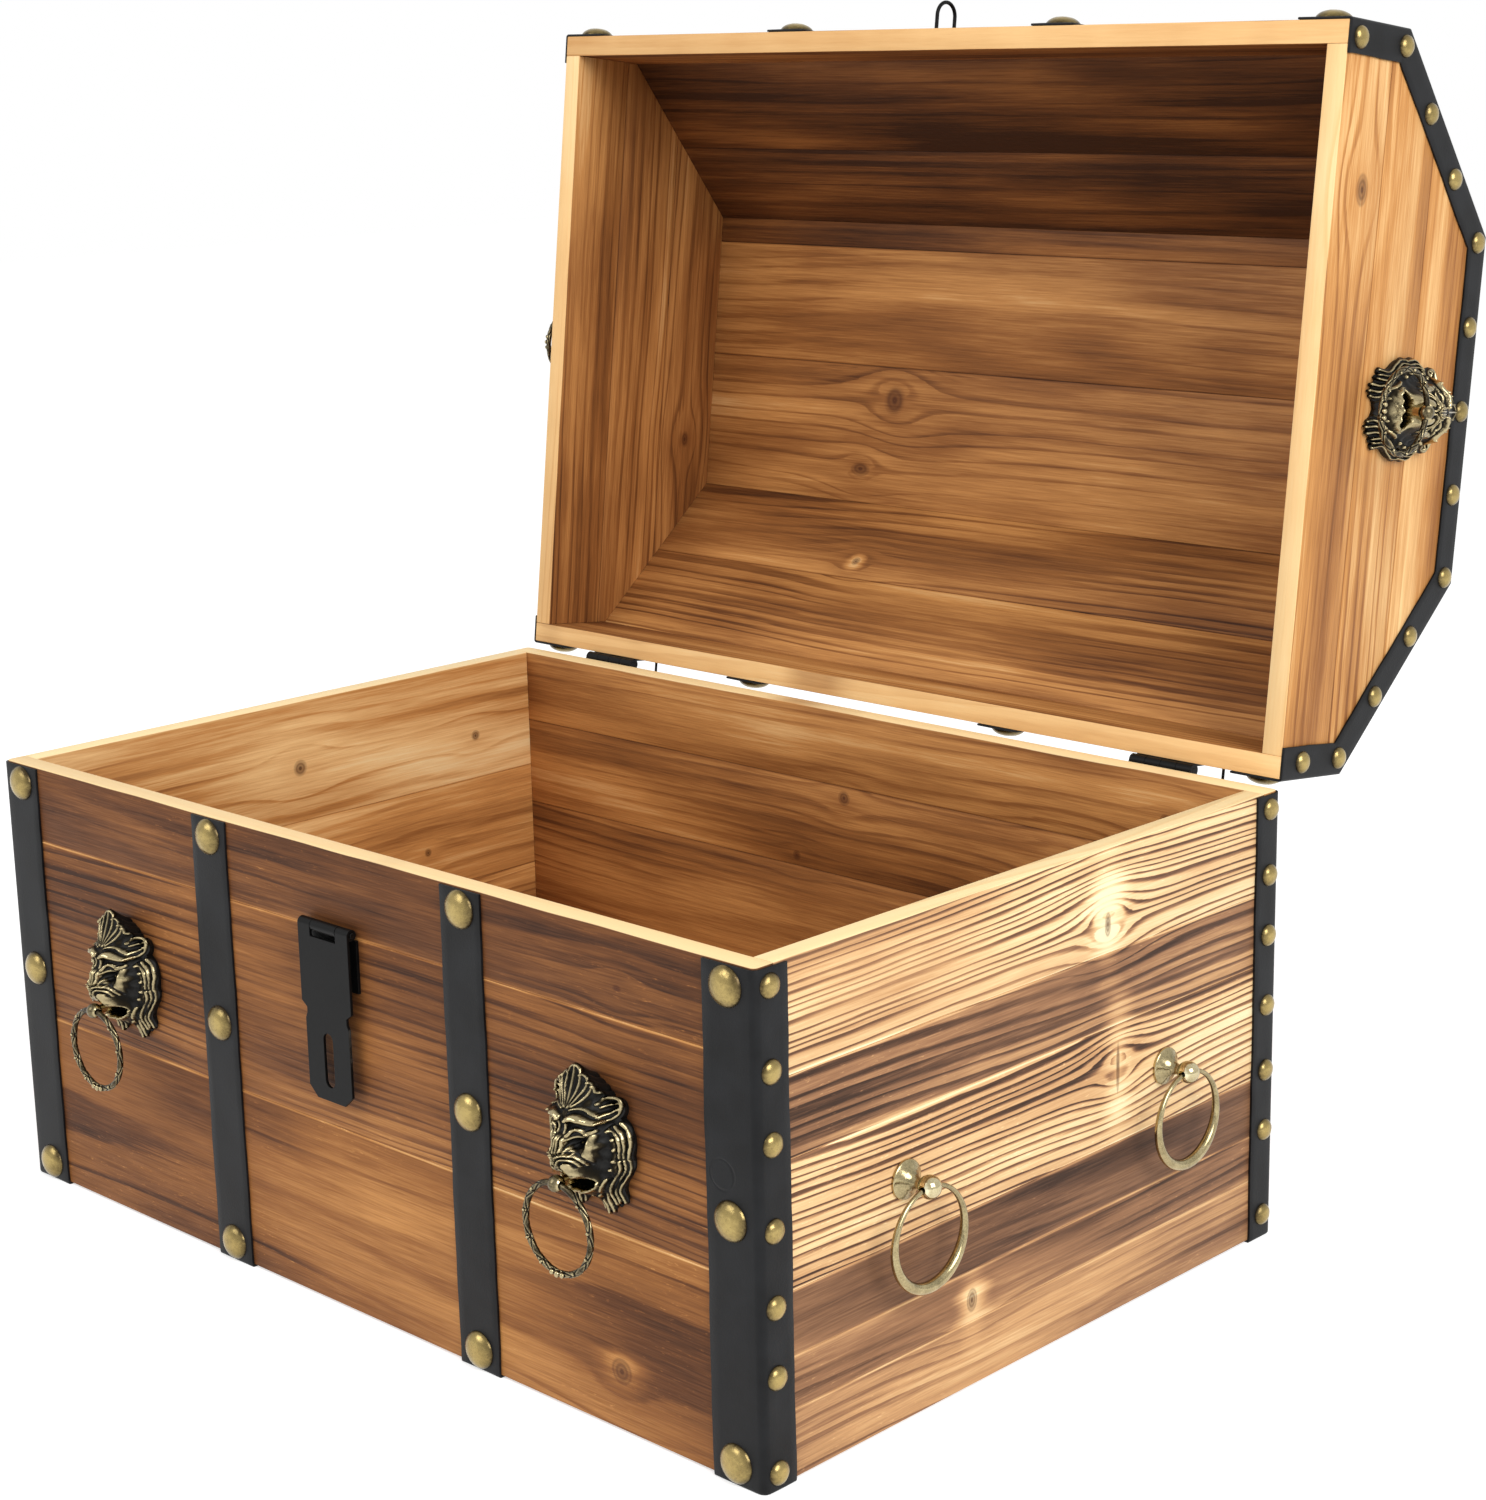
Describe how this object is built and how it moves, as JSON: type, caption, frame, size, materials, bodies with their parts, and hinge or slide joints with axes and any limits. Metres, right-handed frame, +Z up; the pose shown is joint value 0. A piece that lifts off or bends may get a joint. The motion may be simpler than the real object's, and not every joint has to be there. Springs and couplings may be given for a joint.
{
  "type": "wooden trunk",
  "caption": "Wooden trunk with a hinged five-sided lid, leather straps, domed nails, lion ring pulls, side rings and a hasp; it stores and shows small things.",
  "frame": {"origin": "centre of the underside of the box, on the surface that it stands on", "axes": "+X to the right seen from the front, +Y to the back, +Z up"},
  "size_m": [0.5572, 0.5367, 0.5663],
  "materials": {
    "pine_long_boards": "torched pine, brushed and oiled",
    "pine_ends": "torched pine, brushed and oiled, paler",
    "black_leather": "matte black imitation leather",
    "antique_brass_nails": "antique brass with speckled patina",
    "antique_bronze": "dark cast bronze with rubbed highlights",
    "polished_brass": "antique brass, polished",
    "black_steel": "matte black"
  },
  "bodies": {
    "box": {"box_front_board": "pine_long_boards", "box_back_board": "pine_long_boards", "box_left_board": "pine_ends", "box_right_board": "pine_ends", "box_bottom_panel": "pine_long_boards", "corner_strap_front_left": "black_leather", "corner_strap_front_right": "black_leather", "corner_strap_back_left": "black_leather", "corner_strap_back_right": "black_leather", "front_strap_left": "black_leather", "front_strap_right": "black_leather", "back_strap_left": "black_leather", "back_strap_right": "black_leather", "box_large_nails": "antique_brass_nails", "box_small_nails": "antique_brass_nails", "hinge_box_leaf_left": "black_steel", "hinge_box_leaf_right": "black_steel", "hinge_pin_left": "black_steel", "hinge_pin_right": "black_steel", "hinge_box_screws": "black_steel", "hasp_base": "black_steel", "hasp_pin": "black_steel", "hasp_screws": "black_steel", "lion_mask_front_left": "antique_bronze", "lion_mask_front_right": "antique_bronze", "side_post_left_front": "polished_brass", "side_post_left_back": "polished_brass", "side_post_right_front": "polished_brass", "side_post_right_back": "polished_brass"},
    "lid": {"lid_front_board": "pine_long_boards", "lid_front_slope": "pine_long_boards", "lid_top_board": "pine_long_boards", "lid_back_slope": "pine_long_boards", "lid_back_board": "pine_long_boards", "lid_end_left": "pine_ends", "lid_end_right": "pine_ends", "lid_trim_left": "black_leather", "lid_trim_right": "black_leather", "lid_strap_left": "black_leather", "lid_strap_right": "black_leather", "lid_large_nails": "antique_brass_nails", "lid_small_nails": "antique_brass_nails", "hinge_lid_leaf_left": "black_steel", "hinge_lid_leaf_right": "black_steel", "hinge_lid_screws": "black_steel", "lid_brads": "black_steel", "padlock_staple": "black_steel", "lion_mask_lid_left": "antique_bronze", "lion_mask_lid_right": "antique_bronze"},
    "hasp": {"hasp_strap": "black_steel"},
    "front_ring_left": {"front_ring_left": "antique_bronze"},
    "front_ring_right": {"front_ring_right": "antique_bronze"},
    "side_ring_left_front": {"side_ring_left_front": "polished_brass"},
    "side_ring_left_back": {"side_ring_left_back": "polished_brass"},
    "side_ring_right_front": {"side_ring_right_front": "polished_brass"},
    "side_ring_right_back": {"side_ring_right_back": "polished_brass"},
    "lid_ring_left": {"lid_ring_left": "antique_bronze"},
    "lid_ring_right": {"lid_ring_right": "antique_bronze"}
  },
  "joints": [
    {"name": "lid_hinge", "type": "hinge", "parent": "box", "child": "lid", "pos_m": [0, 0.1743, 0.2152], "axis": [1, 0, 0], "range_deg": [0, 97]},
    {"name": "hasp_flip", "type": "hinge", "parent": "box", "child": "hasp", "pos_m": [0, -0.1746, 0.1805], "axis": [-1, 0, 0], "range_deg": [0, 180]},
    {"name": "front_ring_left_swing", "type": "hinge", "parent": "box", "child": "front_ring_left", "pos_m": [-0.157, -0.194, 0.113], "axis": [-1, 0, 0], "range_deg": [-20, 90]},
    {"name": "front_ring_right_swing", "type": "hinge", "parent": "box", "child": "front_ring_right", "pos_m": [0.165, -0.194, 0.113], "axis": [-1, 0, 0], "range_deg": [-20, 90]},
    {"name": "side_ring_left_front_swing", "type": "hinge", "parent": "box", "child": "side_ring_left_front", "pos_m": [-0.267, -0.087, 0.106], "axis": [0, 1, 0], "range_deg": [-12, 165]},
    {"name": "side_ring_left_back_swing", "type": "hinge", "parent": "box", "child": "side_ring_left_back", "pos_m": [-0.267, 0.087, 0.106], "axis": [0, 1, 0], "range_deg": [-12, 165]},
    {"name": "side_ring_right_front_swing", "type": "hinge", "parent": "box", "child": "side_ring_right_front", "pos_m": [0.267, -0.087, 0.106], "axis": [0, -1, 0], "range_deg": [-12, 165]},
    {"name": "side_ring_right_back_swing", "type": "hinge", "parent": "box", "child": "side_ring_right_back", "pos_m": [0.267, 0.087, 0.106], "axis": [0, -1, 0], "range_deg": [-12, 165]},
    {"name": "lid_ring_left_swing", "type": "hinge", "parent": "lid", "child": "lid_ring_left", "pos_m": [-0.275, 0.25201, 0.37875], "axis": [0, -0.1219, -0.9925], "range_deg": [-20, 90]},
    {"name": "lid_ring_right_swing", "type": "hinge", "parent": "lid", "child": "lid_ring_right", "pos_m": [0.275, 0.25201, 0.37875], "axis": [0, 0.1219, 0.9925], "range_deg": [-20, 90]}
  ]
}
